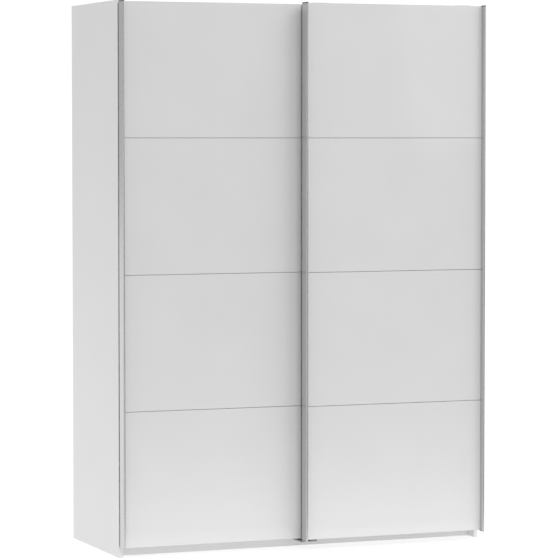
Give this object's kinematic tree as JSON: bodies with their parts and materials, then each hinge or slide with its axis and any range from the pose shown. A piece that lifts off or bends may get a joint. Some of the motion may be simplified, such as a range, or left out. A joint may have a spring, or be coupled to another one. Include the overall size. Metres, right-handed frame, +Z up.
{
  "type": "sliding door wardrobe",
  "caption": "Free-standing wardrobe whose wide glass-faced doors hang from a top track and slide past each other in front of shelves and hanging rails.",
  "frame": {"origin": "centre of the footprint, on the floor", "axes": "+Z up, front with the doors towards -Y, +X to the right as seen from the front"},
  "size_m": [1.5, 0.665, 2.1],
  "materials": {
    "white_board": "satin white melamine on chipboard",
    "white_hardboard": "white painted hardboard",
    "white_glass": "glossy glass, painted white on the back",
    "aluminium": "fine satin anodised",
    "dark_plastic": "matt moulded, dark grey-brown",
    "zinc_steel": "zinc plated",
    "chrome": "bright",
    "nylon": "moulded natural nylon",
    "grey_plastic": "moulded grey"
  },
  "bodies": {
    "carcass": {"side_panel_left": "white_board", "back_panel_left": "white_hardboard", "side_panel_right": "white_board", "back_panel_right": "white_hardboard", "top_panel": "white_board", "bottom_panel": "white_board", "plinth_front": "white_board", "plinth_rear": "white_board", "centre_partition": "white_board", "shelf_left": "white_board", "shelf_right": "white_board", "hanging_rail_left": "chrome", "rail_holder_left_left": "chrome", "rail_holder_left_right": "chrome", "hanging_rail_right": "chrome", "rail_holder_right_left": "chrome", "rail_holder_right_right": "chrome", "top_track": "aluminium", "track_stop_rear_left": "grey_plastic", "track_stop_rear_right": "grey_plastic", "track_stop_front_left": "grey_plastic", "track_stop_front_right": "grey_plastic", "bottom_guide": "grey_plastic", "wall_bracket_left": "zinc_steel", "wall_bracket_right": "zinc_steel"},
    "door_left": {"door_left_board": "white_board", "door_left_glass_1": "white_glass", "door_left_glass_2": "white_glass", "door_left_glass_3": "white_glass", "door_left_glass_4": "white_glass", "door_left_handle_left": "aluminium", "door_left_cap_left_bottom": "aluminium", "door_left_cap_left_top": "dark_plastic", "door_left_handle_right": "aluminium", "door_left_cap_right_bottom": "aluminium", "door_left_cap_right_top": "dark_plastic", "door_left_hanger_left": "zinc_steel", "door_left_axle_left": "zinc_steel", "door_left_hanger_right": "zinc_steel", "door_left_axle_right": "zinc_steel"},
    "door_left_wheel_left": {"door_left_wheel_left": "nylon"},
    "door_left_wheel_right": {"door_left_wheel_right": "nylon"},
    "door_right": {"door_right_board": "white_board", "door_right_glass_1": "white_glass", "door_right_glass_2": "white_glass", "door_right_glass_3": "white_glass", "door_right_glass_4": "white_glass", "door_right_handle_left": "aluminium", "door_right_cap_left_bottom": "aluminium", "door_right_cap_left_top": "dark_plastic", "door_right_handle_right": "aluminium", "door_right_cap_right_bottom": "aluminium", "door_right_cap_right_top": "dark_plastic", "door_right_hanger_left": "zinc_steel", "door_right_axle_left": "zinc_steel", "door_right_hanger_right": "zinc_steel", "door_right_axle_right": "zinc_steel"},
    "door_right_wheel_left": {"door_right_wheel_left": "nylon"},
    "door_right_wheel_right": {"door_right_wheel_right": "nylon"}
  },
  "joints": [
    {"name": "door_left_slide", "type": "slide", "parent": "carcass", "child": "door_left", "axis": [1, 0, 0], "range_m": [0, 0.7]},
    {"name": "door_left_wheel_left_spin", "type": "hinge", "parent": "door_left", "child": "door_left_wheel_left", "pos_m": [-0.669, -0.2209, 2.0753], "axis": [0, 1, 0], "continuous": true},
    {"name": "door_left_wheel_right_spin", "type": "hinge", "parent": "door_left", "child": "door_left_wheel_right", "pos_m": [-0.069, -0.2209, 2.0753], "axis": [0, 1, 0], "continuous": true},
    {"name": "door_right_slide", "type": "slide", "parent": "carcass", "child": "door_right", "axis": [1, 0, 0], "range_m": [-0.684, 0.016]},
    {"name": "door_right_wheel_left_spin", "type": "hinge", "parent": "door_right", "child": "door_right_wheel_left", "pos_m": [0.053, -0.1809, 2.0753], "axis": [0, 1, 0], "continuous": true},
    {"name": "door_right_wheel_right_spin", "type": "hinge", "parent": "door_right", "child": "door_right_wheel_right", "pos_m": [0.653, -0.1809, 2.0753], "axis": [0, 1, 0], "continuous": true}
  ],
  "couplings": [
    {"joint": "door_left_wheel_left_spin", "follows": "door_left_slide", "rad_per_m": 76.923},
    {"joint": "door_left_wheel_right_spin", "follows": "door_left_slide", "rad_per_m": 76.923},
    {"joint": "door_right_wheel_left_spin", "follows": "door_right_slide", "rad_per_m": 76.923},
    {"joint": "door_right_wheel_right_spin", "follows": "door_right_slide", "rad_per_m": 76.923}
  ]
}
